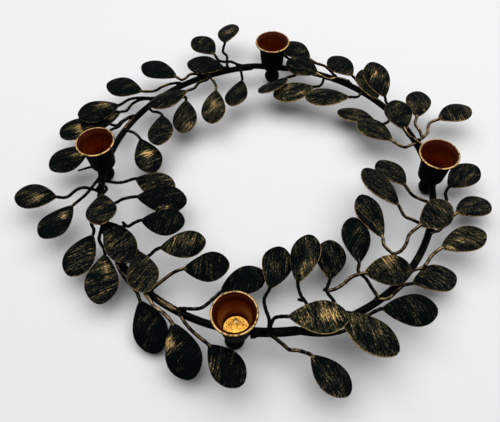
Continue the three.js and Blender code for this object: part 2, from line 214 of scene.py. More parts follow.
sky = bpy.data.worlds.new("studio")
sky.use_nodes = True
tree = sky.node_tree
seen = add_node(tree, "ShaderNodeLightPath", {}, "Is Camera Ray")
for kind_of_ray in ("Is Glossy Ray", "Is Transmission Ray"):
    ray = add_node(tree, "ShaderNodeLightPath", {}, kind_of_ray)
    seen = add_node(tree, "ShaderNodeMath", {0: seen, 1: ray}, operation="MAXIMUM")
summing = {0: seen, 1: 1 - SKY_STRENGTH, 2: SKY_STRENGTH}
strength = add_node(tree, "ShaderNodeMath", summing, operation="MULTIPLY_ADD")
set_inputs(tree, tree.nodes["Background"], {"Color": linear("#f8f8f9"), "Strength": strength})
bpy.context.scene.world = sky
bpy.context.scene.view_settings.view_transform = "Standard"
print("light", LIGHT_POWER, "W and sky", SKY_STRENGTH)

# %% [markdown]
# ## Dry-brushed enamel
# The leaves are stamped sheet, stove-enamelled a blue-black and then dry-brushed: a nearly dry brush of
# antique gold is dragged over them, so the gold stays as fine broken streaks and as rubbed edges.
# Streaks could be painted as a picture, but a stretched noise pattern stays sharp at any distance.
# Every point of a leaf carries its place along and across the brush stroke in millimetres, how much
# gold it took, and how near the edge it is. Three patterns and the gold it took add up to one level,
# and the looks set in one by one as it rises.

# %% Brush marks on the leaves
# Length and width of each mark in millimetres, its detail, and a shift that sets the patterns apart.
# Bristle marks are about 0.3 mm wide; they are drawn at 0.6 mm and more so that they show.
BRUSH_MARKS = {"streaks": (11, 0.75, 2, 0), "dashes": (1.5, 0.6, 1, 40), "clouds": (11, 5.5, 1, 80)}
MARK_WEIGHTS = {"streaks": 0.4, "clouds": 0.24, "dashes": 0.36}
GOLD_WEIGHT = 0.2
EDGE_DASHES = 0.5

# Enamel under dry-brushed gold: deep blue-black that hardly shines, a thin olive veil in the streaks,
# bright dashes where the brush pressed, and edges rubbed to a broken gold line.
leaf_enamel, tree, shader = new_material("dry_brushed_enamel")
marks = {}
for name, (length, width, detail, shift) in BRUSH_MARKS.items():
    stroke = add_node(tree, "ShaderNodeAttribute", {}, "Vector", attribute_name="stroke")
    scaling = {0: stroke, 1: (1 / length, 1 / width, 1), 2: (shift, shift, shift)}
    spot = add_node(tree, "ShaderNodeVectorMath", scaling, operation="MULTIPLY_ADD")
    marks[name] = add_node(tree, "ShaderNodeTexNoise", {"Vector": spot, "Scale": 1, "Detail": detail})
taken = add_node(tree, "ShaderNodeAttribute", {}, "Fac", attribute_name="gold")
level = add_node(tree, "ShaderNodeMath", {0: taken, 1: GOLD_WEIGHT}, operation="MULTIPLY")
for name, weight in MARK_WEIGHTS.items():
    summing = {0: marks[name], 1: weight, 2: level}
    level = add_node(tree, "ShaderNodeMath", summing, operation="MULTIPLY_ADD")
rim = add_node(tree, "ShaderNodeAttribute", {}, "Fac", attribute_name="rim")
summing = {0: marks["dashes"], 1: EDGE_DASHES, 2: rim}
edge_level = add_node(tree, "ShaderNodeMath", summing, operation="MULTIPLY_ADD")
print("brush marks", list(marks))

# %% Gold on the leaves
# The level at which each look sets in and the level at which it is full.
VEIL_RANGE = (0.585, 0.68)
BRIGHT_RANGE = (0.68, 0.78)
THICK_RANGE = (0.73, 0.86)
RUBBED_RANGE = (1.12, 1.38)
GOLD_METALLIC = 0.45
STREAK_DEPTH = 0.2
STREAK_RELIEF = 0.25

looks = []
ranges = ((level, VEIL_RANGE), (level, BRIGHT_RANGE), (level, THICK_RANGE), (edge_level, RUBBED_RANGE))
for value, (low, high) in ranges:
    ramp = {"Value": value, "From Min": low, "From Max": high}
    looks.append(add_node(tree, "ShaderNodeMapRange", ramp, interpolation_type="SMOOTHSTEP"))
veil, bright, thick, rubbed = looks
gold_share = add_node(tree, "ShaderNodeMath", {0: bright, 1: rubbed}, operation="MAXIMUM")
mixing = {0: veil, MIX_BELOW: linear("#020607"), MIX_ABOVE: linear("#3a3829")}
veiled = add_node(tree, "ShaderNodeMix", mixing, MIX_RESULT, data_type="RGBA")
mixing = {0: thick, MIX_BELOW: linear("#a98b5a"), MIX_ABOVE: linear("#c39a50")}
gold = add_node(tree, "ShaderNodeMix", mixing, MIX_RESULT, data_type="RGBA")
mixing = {0: gold_share, MIX_BELOW: veiled, MIX_ABOVE: gold}
colour = add_node(tree, "ShaderNodeMix", mixing, MIX_RESULT, data_type="RGBA")
metallic = add_node(tree, "ShaderNodeMath", {0: gold_share, 1: GOLD_METALLIC}, operation="MULTIPLY")
roughness = add_node(tree, "ShaderNodeMapRange", {"Value": gold_share, "To Min": 0.5, "To Max": 0.42})
raising = {"Height": marks["streaks"], "Strength": STREAK_RELIEF, "Distance": STREAK_DEPTH * MM}
relief = add_node(tree, "ShaderNodeBump", raising)
surface = {"Base Color": colour, "Metallic": metallic, "Roughness": roughness, "Normal": relief}
set_inputs(tree, shader, {**surface, "Specular IOR Level": 0.01})
print("leaf enamel has", len(tree.nodes), "nodes")

# %% [markdown]
# ## Rubbed black enamel
# The rod, the stems and the feet have the same black, but the brush only touched the tops of these round
# wires. A line of gold paint could be modelled along them. It is simpler, and truer to how the brushed gold
# came about, to let gold show where the surface faces up, broken by dashes. This gold on the tops is partly
# brushed gold and partly a painted highlight of the light from above.

# %% Rubbed black enamel
WIRE_DASH_LENGTH = 4
WIRE_DASH_WIDTH = 1.2
WIRE_DASH_SHIFT = 15
WIRE_DASH_WEIGHT = 0.5
UPWARD_GOLD_AND_HIGHLIGHT_WEIGHT = 0.38
WIRE_GOLD_WEIGHT = 0.25
WIRE_GOLD_RANGE = (0.76, 0.93)
WIRE_PIT_DEPTH = 0.3
WIRE_PIT_RELIEF = 0.2

# Black enamel on steel wire: nearly black with a dull shine, and a broken line of gold along the top,
# partly brushed gold and partly a painted highlight.
wire_enamel, tree, shader = new_material("rubbed_black_enamel")
stroke = add_node(tree, "ShaderNodeAttribute", {}, "Vector", attribute_name="stroke")
scaling = {0: stroke, 1: (1 / WIRE_DASH_LENGTH, 1 / WIRE_DASH_WIDTH, 1), 2: (WIRE_DASH_SHIFT,) * 3}
spot = add_node(tree, "ShaderNodeVectorMath", scaling, operation="MULTIPLY_ADD")
dashes = add_node(tree, "ShaderNodeTexNoise", {"Vector": spot, "Scale": 1, "Detail": 2})
taken = add_node(tree, "ShaderNodeAttribute", {}, "Fac", attribute_name="gold")
normal = add_node(tree, "ShaderNodeNewGeometry", {}, "Normal")
# Facing up: partly brushed gold and partly a painted highlight where the light from above falls.
facing = add_node(tree, "ShaderNodeSeparateXYZ", {"Vector": normal}, "Z")
level = add_node(tree, "ShaderNodeMath", {0: dashes, 1: WIRE_DASH_WEIGHT}, operation="MULTIPLY")
for value, weight in ((facing, UPWARD_GOLD_AND_HIGHLIGHT_WEIGHT), (taken, WIRE_GOLD_WEIGHT)):
    level = add_node(tree, "ShaderNodeMath", {0: value, 1: weight, 2: level}, operation="MULTIPLY_ADD")
ramp = {"Value": level, "From Min": WIRE_GOLD_RANGE[0], "From Max": WIRE_GOLD_RANGE[1]}
gold_share = add_node(tree, "ShaderNodeMapRange", ramp, interpolation_type="SMOOTHSTEP")
mixing = {0: gold_share, MIX_BELOW: linear("#030404"), MIX_ABOVE: linear("#a98c62")}
colour = add_node(tree, "ShaderNodeMix", mixing, MIX_RESULT, data_type="RGBA")
metallic = add_node(tree, "ShaderNodeMath", {0: gold_share, 1: GOLD_METALLIC}, operation="MULTIPLY")
roughness = add_node(tree, "ShaderNodeMapRange", {"Value": dashes, "To Min": 0.36, "To Max": 0.54})
raising = {"Height": dashes, "Strength": WIRE_PIT_RELIEF, "Distance": WIRE_PIT_DEPTH * MM}
relief = add_node(tree, "ShaderNodeBump", raising)
surface = {"Base Color": colour, "Metallic": metallic, "Roughness": roughness, "Normal": relief}
set_inputs(tree, shader, {**surface, "Specular IOR Level": 0.015})
print("wire enamel has", len(tree.nodes), "nodes")

# %% [markdown]
# ## Cup finishes
# The cups are spun from sheet. Outside they are satin black like the rod. The rolled lip is rubbed through
# to brass. Inside, amber lacquer over the metal makes the walls red-brown, with painted shade under the lip
# and where they meet the floor, and the floor is bare gold that shines. The glow could be painted in, but
# half-metal walls over a metal floor give it by themselves. Each finish is one row of a table: size of the
# mottle in millimetres, two colours, two roughnesses, share of metal and gloss.

# %% Cup finishes
CUP_FINISHES = {
    # Satin black enamel, sprayed and stoved: black with faint blue-black clouds and hardly any shine.
    "satin_black_enamel": (6, ("#020203", "#06070a"), (0.5, 0.65), 0, 0.008),
    # Brass rubbed through the black: a bright warm line with dark flecks left in it.
    "rubbed_brass": (2, ("#ab8a55", "#4d3516"), (0.32, 0.5), 0.85, 0.5),
    # Amber lacquer over the spun walls: red-brown with a soft, half-metal shine.
    "amber_lacquer": (4, ("#803208", "#90400c"), (0.3, 0.42), 0.5, 0.06),
    # Bare gold lacquer on the floor: bright yellow gold with fine worn specks.
    "bare_gold_lacquer": (0.9, ("#cf9a44", "#8a6023"), (0.3, 0.5), 1, 0.5),
    # Solder under the lacquer: a small pale gold drop that glints.
    "lacquered_solder": (1, ("#d2b070", "#9a7a42"), (0.3, 0.45), 1, 0.5),
}
# Painted shade: the dark red-brown that the inside walls are darkened to under the lip and over the floor.
PAINTED_SHADE_BROWN = "#360d04"
MOTTLE_RANGE = (0.48, 0.66)
FIRST_SHIFT = 5
NEXT_SHIFT = 20

cup_finishes = []
for number, (name, row) in enumerate(CUP_FINISHES.items()):
    mottle_size, colours, roughnesses, metallic, gloss = row
    finish, tree, shader = new_material(name)
    stroke = add_node(tree, "ShaderNodeAttribute", {}, "Vector", attribute_name="stroke")
    shift = FIRST_SHIFT + NEXT_SHIFT * number
    scaling = {0: stroke, 1: (1 / mottle_size, 1 / mottle_size, 1), 2: (shift, shift, shift)}
    spot = add_node(tree, "ShaderNodeVectorMath", scaling, operation="MULTIPLY_ADD")
    mottle = add_node(tree, "ShaderNodeTexNoise", {"Vector": spot, "Scale": 1, "Detail": 2})
    ramp = {"Value": mottle, "From Min": MOTTLE_RANGE[0], "From Max": MOTTLE_RANGE[1]}
    worn = add_node(tree, "ShaderNodeMapRange", ramp, interpolation_type="SMOOTHSTEP")
    mixing = {0: worn, MIX_BELOW: linear(colours[0]), MIX_ABOVE: linear(colours[1])}
    colour = add_node(tree, "ShaderNodeMix", mixing, MIX_RESULT, data_type="RGBA")
    # Painted shade: where the rim value is high, the colour is darkened towards the painted shade brown.
    painted_shade = add_node(tree, "ShaderNodeAttribute", {}, "Fac", attribute_name="rim")
    mixing = {0: painted_shade, MIX_BELOW: colour, MIX_ABOVE: linear(PAINTED_SHADE_BROWN)}
    colour = add_node(tree, "ShaderNodeMix", mixing, MIX_RESULT, data_type="RGBA")
    ramp = {"Value": worn, "To Min": roughnesses[0], "To Max": roughnesses[1]}
    roughness = add_node(tree, "ShaderNodeMapRange", ramp)
    surface = {"Base Color": colour, "Metallic": metallic, "Roughness": roughness}
    set_inputs(tree, shader, {**surface, "Specular IOR Level": gloss})
    cup_finishes.append(finish)
print("cup finishes", [finish.name for finish in cup_finishes])

# %% [markdown]
# ## Lines and skins
# Nearly everything here is a line with a skin round it: a rod, a stem, a blade that widens and narrows.
# Curve objects with a bevel could make the wires, but their points carry no brush values. So one function
# bends a smooth line through a few places, one puts loops of points along it, and one class joins loops
# into a closed mesh whose points have them.


# %% Smooth lines and loops
def smooth_line(places, step):
    """Points along a smooth curve through the places."""
    ends = [2 * places[0] - places[1], *places, 2 * places[-1] - places[-2]]
    points = []
    for index in range(len(places) - 1):
        before, start, stop, after = ends[index : index + 4]
        first = (start - before).length ** 0.5
        middle = (stop - start).length ** 0.5
        last = (after - stop).length ** 0.5
        leave = (start - before) / first - (stop - before) / (first + middle) + (stop - start) / middle
        arrive = (stop - start) / middle - (after - start) / (middle + last) + (after - stop) / last
        count = max(1, round((stop - start).length / step))
        for number in range(count):
            share = number / count
            square = share * share
            cube = square * share
            point = (2 * cube - 3 * square + 1) * start + (3 * square - 2 * cube) * stop
            point += ((cube - 2 * square + share) * leave + (cube - square) * arrive) * middle
            points.append(point)
    return [*points, places[-1].copy()]


def loops_along(line, radii, sides):
    """Rings of points square to a line."""
    normal = Vector((0, 0, 1))
    turns = [math.tau * number / sides for number in range(sides)]
    loops = []
    for index, point in enumerate(line):
        tangent = line[min(index + 1, len(line) - 1)] - line[max(index - 1, 0)]
        tangent.normalize()
        normal = (normal - normal.dot(tangent) * tangent).normalized()
        side = tangent.cross(normal)
        spokes = [math.cos(turn) * normal + math.sin(turn) * side for turn in turns]
        loops.append([point + radii[index] * spoke for spoke in spokes])
    return loops


print("a 10 mm line has", len(smooth_line([Vector((0, 0, 0)), Vector((10, 0, 0))], 1)), "points")


# %% Skins
class Skin:
    """Points, faces and brush values of one piece while it is made."""

    def __init__(self):
        self.points = []
        self.faces = []
        self.finishes = []
        self.strokes = []
        self.golds = []
        self.rims = []

    def add_points(self, points, strokes, golds, rims):
        """Adds points with their brush values, and gives their numbers."""
        first = len(self.points)
        self.points += points
        self.strokes += strokes
        self.golds += golds
        self.rims += rims
        return range(first, len(self.points))

    def add_face(self, corners, finish):
        self.faces.append(corners)
        self.finishes.append(finish)

    def join(self, rows, finish):
        """Quads between neighbouring loops of point numbers."""
        for row, following in zip(rows, rows[1:]):
            for number in range(len(row)):
                other = (number + 1) % len(row)
                self.add_face((row[number], row[other], following[other], following[number]), finish)

    def close_ends(self, rows, first_finish, last_finish):
        """One flat face on the first loop and one on the last."""
        self.add_face(tuple(reversed(rows[0])), first_finish)
        self.add_face(tuple(rows[-1]), last_finish)

    def tube(self, line, radii, sides, finish, golds, seed):
        """A closed rod along a line, with its own brush values."""
        turns = [number / sides - 0.5 for number in range(sides)]
        rows = []
        run = 0
        for index, loop in enumerate(loops_along(line, radii, sides)):
            if index:
                run += (line[index] - line[index - 1]).length
            strokes = [(run, abs(turn) * math.tau * radii[index] * 2, seed) for turn in turns]
            rows.append(self.add_points(loop, strokes, [golds[index]] * sides, [0] * sides))
        self.join(rows, finish)
        self.close_ends(rows, finish, finish)

    def piece(self, name, node, slot, finishes):
        """Makes the mesh object and lets it stand for its solid."""
        mesh = bpy.data.meshes.new(name)
        mesh.from_pydata([point * MM for point in self.points], [], self.faces)
        for finish in finishes:
            mesh.materials.append(finish)
        mesh.polygons.foreach_set("material_index", self.finishes)
        mesh.polygons.foreach_set("use_smooth", [True] * len(self.faces))
        stroke = mesh.attributes.new("stroke", "FLOAT_VECTOR", "POINT")
        stroke.data.foreach_set("vector", [value for values in self.strokes for value in values])
        mesh.attributes.new("gold", "FLOAT", "POINT").data.foreach_set("value", self.golds)
        mesh.attributes.new("rim", "FLOAT", "POINT").data.foreach_set("value", self.rims)
        mesh.update()
        piece = bpy.data.objects.new(name, mesh)
        bpy.context.scene.collection.objects.link(piece)
        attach(piece, "root")
        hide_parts(node)


print("a skin keeps", list(vars(Skin())))

# %% [markdown]
# ## Ring
# Two half rings of steel rod lie side by side where they meet, just right of the front cup and just left of
# the back cup, pressed and welded together. Each rod eases from one lap to the next, and the cut end beside
# the front cup is splayed out a little. A torus would miss the laps and the cut ends, so each rod is a tube
# along its own line. It is drawn with its paint, a little thicker than the bare steel.

# %% Where the rods run
BOW_OUT = 2.2
BOW_ANGLE = -45
BOW_SHARPNESS = 6
JOG_TURN = 10
SPLAY_TURN = 2.5
FRONT_LAP = 13
BACK_LAP = 5
# For each rod: where it starts and how far it goes round, in degrees. Then, for its first and its last lap,
# how long the lap is and how far out the rod lies in it. Last, how far its first end is splayed out.
HALF_RINGS = {
    "right": (-90, 194, (FRONT_LAP, 0), (BACK_LAP, 2.2), 2),
    "left": (99, 185, (BACK_LAP, 0.6), (FRONT_LAP, -1), 0),
}


def smooth_step(value, low, high):
    """Rises smoothly from 0 at the low value to 1 at the high one."""
    share = min(max((value - low) / (high - low), 0), 1)
    return share * share * (3 - 2 * share)


def rod_shift(rod, turn):
    """How far a rod lies outside the ring's line."""
    start, whole, (first_lap, first_out), (last_lap, last_out), splay = rod
    leaving = 1 - smooth_step(turn, first_lap, first_lap + JOG_TURN)
    joining = smooth_step(turn, whole - last_lap - JOG_TURN, whole - last_lap)
    bowed = ((1 + math.cos(math.radians(start + turn - BOW_ANGLE))) / 2) ** BOW_SHARPNESS
    splayed = 1 - smooth_step(turn, 0, SPLAY_TURN)
    return first_out * leaving + last_out * joining + BOW_OUT * bowed + splay * splayed


def rod_shifts(angle):
    """The shifts of the one or two rods at an angle."""
    turns = [(rod, (angle - rod[0]) % 360) for rod in HALF_RINGS.values()]
    return [rod_shift(rod, turn) for rod, turn in turns if turn <= rod[1]]


print("out from the ring's line in the front lap", [round(shift, 1) for shift in rod_shifts(-84)])

# %% Half rings
PAINTED_ROD_RADIUS = 2.45
END_CHAMFER = 0.85
ROD_SIDES = 20
# Seeds set the patterns of like pieces apart.
ROD_SEED = 3
ROD_GOLD = 0.2
# Places round the ring where the brush pressed, and the gold that they took.
RUBBED_PLACES = {-116: 0.65, -30: 0.25, 160: 0.45}
RUBBED_SPREAD = 5


def angle_between(first, second):
    return abs((first - second + 180) % 360 - 180)


for number, (side, rod) in enumerate(HALF_RINGS.items()):
    ring = Skin()
    start, whole = rod[:2]
    line = [place(start + turn, rod_shift(rod, turn), 0) for turn in range(whole + 1)]
    radii = [PAINTED_ROD_RADIUS] * (whole + 1)
    radii[0] *= END_CHAMFER
    radii[-1] *= END_CHAMFER
    golds = []
    for turn in range(whole + 1):
        gold = ROD_GOLD
        for spot, amount in RUBBED_PLACES.items():
            gold += amount * math.exp(-((angle_between(start + turn, spot) / RUBBED_SPREAD) ** 2))
        golds.append(gold)
    ring.tube(line, radii, ROD_SIDES, 0, golds, ROD_SEED + number)
    ring.piece(f"{side}_half_ring_painted", f"{side}_half_ring", "black_paint", [wire_enamel])
    print(side, "half ring", len(ring.points), "points")

# %% [markdown]
# ## Ball feet
# The feet are turned balls with a small flat to stand on. A sphere would need its bottom cut off; a
# profile swept round an axis, as on a lathe, has the flat from the start. A collar of weld joins each ball
# to the rod. Two feet sit a little to the outside of it.

# %% Lathe and profile of the ball
BALL_STEPS = 14
# Millimetres of height over which a pattern changes.
PATTERN_HEIGHT = 4


def lathe(skin, middle, profile, sides, seed, gold, rims=None):
    """Sweeps (radius, height, finish) points round an upright axis; the ends are closed flat."""
    turns = [math.tau * number / sides for number in range(sides)]
    rows = []
    for index, (radius, height, _) in enumerate(profile):
        circle = [(radius * math.cos(turn), radius * math.sin(turn)) for turn in turns]
        points = [middle + Vector((x, y, height)) for x, y in circle]
        strokes = [(x, y, seed + height / PATTERN_HEIGHT) for x, y in circle]
        # On the cups, the rim value is painted shade under the lip and over the floor.
        rim = rims[index] if rims else 0
        rows.append(skin.add_points(points, strokes, [gold] * sides, [rim] * sides))
    for index in range(len(profile) - 1):
        skin.join(rows[index : index + 2], profile[index][2])
    skin.close_ends(rows, profile[0][2], profile[-1][2])


flat_angle = math.asin(BALL_FLAT / BALL_DIAMETER)
ball_profile = []
for step in range(BALL_STEPS + 1):
    around = flat_angle + step / BALL_STEPS * (math.pi - 2 * flat_angle)
    height = BALL_HEIGHT / 2 - BALL_DIAMETER / 2 * math.cos(around)
    ball_profile.append((BALL_DIAMETER / 2 * math.sin(around), height, 0))
print("the ball's profile has", len(ball_profile), "points")

# %% Ball feet
BALL_SIDES = 32
BALL_GOLD = 0.1
FOOT_SEED = 10
FOOT_COLLAR_SEED = 20
# Radius of the collar, and its height above the top of the ball.
FOOT_COLLAR = ((3, -0.9), (2.1, 0.3), (1.6, 1.2))
# Degrees round the ring and millimetres out, from where the cup and the rod would have the foot.
FOOT_SHIFTS = {"front": (-0.5, 3.2), "left": (0, 2)}

foot_collar = [(radius, BALL_HEIGHT + rise, 0) for radius, rise in FOOT_COLLAR]
for number, (side, (angle, _)) in enumerate(CUPS.items()):
    foot = Skin()
    turned, moved = FOOT_SHIFTS.get(side, (0, 0))
    middle = place(angle + turned, max(rod_shifts(angle)) + moved, -ROD_HEIGHT)
    lathe(foot, middle, ball_profile, BALL_SIDES, FOOT_SEED + number, BALL_GOLD)
    lathe(foot, middle, foot_collar, BALL_SIDES, FOOT_COLLAR_SEED + number, BALL_GOLD)
    foot.piece(f"{side}_ball_foot_painted", f"{side}_ball_foot", "black_paint", [wire_enamel])
print("4 feet of", BALL_DIAMETER, "mm")

# %% [markdown]
# ## Candle cups
# The cups are spun from thin sheet: straight walls, a flared mouth and a rolled lip, with a drop of solder
# on the floor. A cylinder with a bevel would miss the flare and the roll, so the whole section of the
# sheet, outside, lip, inside and floor, is one profile for the lathe, and each stretch has its own finish.

# %% Profile of the cup
CUP_HEIGHT = 25
CUP_BASE = 9.2
CUP_CORNER = 2.2
CUP_NECK = 10.6
CUP_LIP = 0.85
CUP_RIM = 14
CUP_WALL = 0.8
CUP_FLARE = 6
# Radius and height of points down the inside and across the floor.
CUP_INSIDE = ((9.1, 10), (8.5, 2.2), (8.3, 1.5))
CUP_FLOOR = ((8.1, 1.15), (7.7, 1), (5, 1), (2, 1))
OUTSIDE, LIP, INSIDE, FLOOR, SOLDER = range(5)

lip_middle = (CUP_RIM - CUP_LIP, CUP_HEIGHT - CUP_LIP)
neck_height = CUP_HEIGHT - CUP_FLARE
flare_height = CUP_HEIGHT - 2 * CUP_LIP


def bent(first, control, last, steps):
    """Points along a quadratic curve, without its last point."""
    points = []
    for step in range(steps):
        share = step / steps
        weights = ((1 - share) ** 2, 2 * share * (1 - share), share * share)
        columns = zip(first, control, last)
        points.append(tuple(sum(map(math.prod, zip(weights, values))) for values in columns))
    return points


def on_lip(degrees):
    """A point on the rolled lip's own circle."""
    turn = math.radians(degrees)
    return (lip_middle[0] + CUP_LIP * math.cos(turn), lip_middle[1] + CUP_LIP * math.sin(turn))


corner_top = (CUP_BASE, CUP_CORNER)
outside = [(CUP_BASE - CUP_CORNER, 0)]
outside += bent((CUP_BASE - 2, 0), (CUP_BASE - 0.1, 0), corner_top, 5)
outside.append(corner_top)
outside += bent((CUP_NECK, neck_height), (CUP_NECK + CUP_WALL, flare_height), on_lip(-60), 8)
outside += [on_lip(degrees) for degrees in (-60, -40, -20, 0)]
lip = [on_lip(degrees) for degrees in (35, 55, 75, 95)]
inner_neck = (CUP_NECK - CUP_WALL, neck_height)
inside = [on_lip(degrees) for degrees in (120, 140, 160)]
inside += bent(on_lip(180), (CUP_NECK, flare_height), inner_neck, 8)
inside += [inner_neck, *CUP_INSIDE]
cup_profile = []
for finish, points in ((OUTSIDE, outside), (LIP, lip), (INSIDE, inside), (FLOOR, CUP_FLOOR)):
    cup_profile += [(*point, finish) for point in points]
print("the cup's profile has", len(cup_profile), "points")

# %% Candle cups
CUP_BOTTOM = WELD_GAP + ROD_DIAMETER / 2
CUP_SIDES = 72
COLLAR_SIDES = 24
CUP_SEED = 30
CUP_COLLAR_SEED = 40
DROP_SEED = 50
# Radius and height of points over the solder drop and up the weld.
SOLDER_DROP = ((1.7, 0.95), (1.4, 1.05), (0.9, 1.11), (0.4, 1.13))
CUP_COLLAR = ((1.5, -1.5), (2.6, -0.6), (4, 0.1))
DROP_PLACE = Vector((-0.8, 5.2, 0))
# Painted shade darkens the inside walls upward between these heights from the top of the flare, and the
# walls are dark at the floor.
SHADE_UNDER_LIP = (-8, 1)
SHADE_OVER_FLOOR = (2, 9)

# Each point of the inside finish gets its share of painted shade; the other finishes get none.
cup_painted_shade = []
for _, height, finish in cup_profile:
    shade_under_lip = smooth_step(height - flare_height, *SHADE_UNDER_LIP)
    shade_over_floor = 1 - smooth_step(height, *SHADE_OVER_FLOOR)
    cup_painted_shade.append(max(shade_under_lip, shade_over_floor) if finish == INSIDE else 0)
solder_drop = [(*point, SOLDER) for point in SOLDER_DROP]
cup_collar = [(*point, OUTSIDE) for point in CUP_COLLAR]
for number, (side, (angle, out)) in enumerate(CUPS.items()):
    cup = Skin()
    middle = place(angle, out, CUP_BOTTOM)
    lathe(cup, middle, cup_profile, CUP_SIDES, CUP_SEED + number, 0, cup_painted_shade)
    lathe(cup, middle + DROP_PLACE, solder_drop, COLLAR_SIDES, DROP_SEED + number, 0)
    lathe(cup, middle, cup_collar, COLLAR_SIDES, CUP_COLLAR_SEED + number, 0)
    cup.piece(f"{side}_candle_cup_lacquered", f"{side}_candle_cup", "gold_lacquer", cup_finishes)
print("4 cups of", 2 * CUP_RIM, "mm")

# %% [markdown]
# ## Leaf schedule
# A welder sets each leaf by eye, so no rule gives their places, and leaves strewn at random would not be
# this wreath. The schedule goes once round the ring. For each leaf it gives the weld on the ring (degrees
# and side of the rod), or the joint that a branch starts from, and the bends of the stem. Then come the
# base of the blade, how it lies (turn, pitch and roll in degrees), the gold it took and the heading of the
# brush. Some have their own gold on the wire, a size, a patch of gold (share of the length, share of the
# half width, amount) or a bare tail of wire. Two leaves in one sprig are a twin.


# %% Leaf schedule
class Leaf(NamedTuple):
    """One leaf of the schedule."""

    weld: tuple
    stem: list
    base: tuple
    lie: tuple
    gold: float
    brush: float
    wire: float = 0.5
    size: float = 1
    patch: tuple = None
    tail: list = None


WREATH = {}
WREATH["front_left"] = [
    [Leaf((-169, "outer"), [(-169, 10, 6.5), (-168.5, 15), (-166, 22)],
          (-166.5, 29, 7), (-106, -7, -10), 0.3, 25, patch=(0.45, 0, 0.45))],
    [Leaf((-173, "outer"), [(-168, 10, 1.5)],
          (-164.5, 19.5, 1), (-36, 8, -4), 0.2, 40, patch=(0.33, 0.2, 0.9),
          tail=[(-173, 2.4, 2), (-177, 2.8, 0.5), (-179.5, 9, 0.5), (-178, 20, 0)])],
    [Leaf((-172, "top"), [(-166.5, -6.5)],
          (-163.5, -4, 11), (0, 16, 0), 0.4, 30)],
    [Leaf((-173, "inner"), [(-171.5, -11.5), (-171.5, -16.5)],
          (-173, -25.5, 3), (65, 5, 10), 0.5, 20)],
    [Leaf((-160, "outer"), [(-156.5, 7.5), (-153.5, 7)],
          (-152, 8.5, 1), (-41, 0, -13), 0.4, 40)],
    [Leaf((-161.5, "inner"), [(-161, -11.5), (-161.5, -17)],
          (-160, -27, 9), (71, -5, 8), 0.15, 30, size=1.07, patch=(0.6, -0.8, 0.8))],
    [Leaf((-155.5, "top"), [(-153, 1, 4), (-151, 3, 4), (-148.5, 5.5), (-144.5, 5)],
          (-143, 6, 3), (-30, -5, -10), 0.42, 36, wire=0.25, size=1.05, patch=(0.3, 0.2, 0.45)),
     Leaf((-155, "top"), [],
          (-151.5, -4, 11), (9, -5, 0), 0.36, 45, wire=0.25, size=1.05, patch=(0.35, -0.5, 0.35))],
    [Leaf((-150.5, "inner"), [(-150, -13, 4), (-148.5, -16), (-148.5, -19)],
          (-147.5, -25, 9), (48, 14, 12), 0.2, 76, patch=(0.75, 0.1, 0.35),
          tail=[(-149.5, -14.5, 4), (-152, -13, 4)])],
    [Leaf((-145.5, "inner"), [],
          (-137.5, -13, 4), (-20, 5, 0), 0.52, 57)],
    [Leaf((-138, "outer"), [(-134, 4), (-130.5, 4), (-127, 4.5)],
          (-124.5, 7, -2), (-27, -12, 7), 0.12, 70, wire=0.6, size=1.07, patch=(0.4, -0.2, 0.3))],
    [Leaf((-137, "inner"), [(-134, -16.5, 2), (-133, -21.5)],
          (-131.5, -24.5, 9), (47, 12, 10), 0.45, 74, size=0.95, patch=(0.6, 0, 0.35))],
    [Leaf((-123.5, "outer"), [(-121, 4), (-119, 6), (-115, 6.5)],
          (-111.5, 9.5, 5), (-41, -14, 4), 0.15, 50, wire=0.9, size=1.07, patch=(0.28, -0.7, 1.3))],
    [Leaf((-123.5, "inner"), [(-122.5, -8), (-120.5, -18)],
          (-118, -23, 9), (27, 18, 10), 0.28, 88, wire=0.75, size=0.96)],
    [Leaf((-110.5, "outer"), [(-109, 5), (-106.5, 8), (-104, 10.5)],
          (-100, 14.5, 5), (-36, 7, 5), 0.2, 84, wire=0.7, size=0.97, patch=(0.4, -0.9, 0.7))],
    [Leaf((-111, "inner"), [(-107, -5), (-105.5, -7), (-103.5, -13)],
          (-101.5, -19, 7), (49, -12, 2), 0.2, 82, wire=0.6)],
]
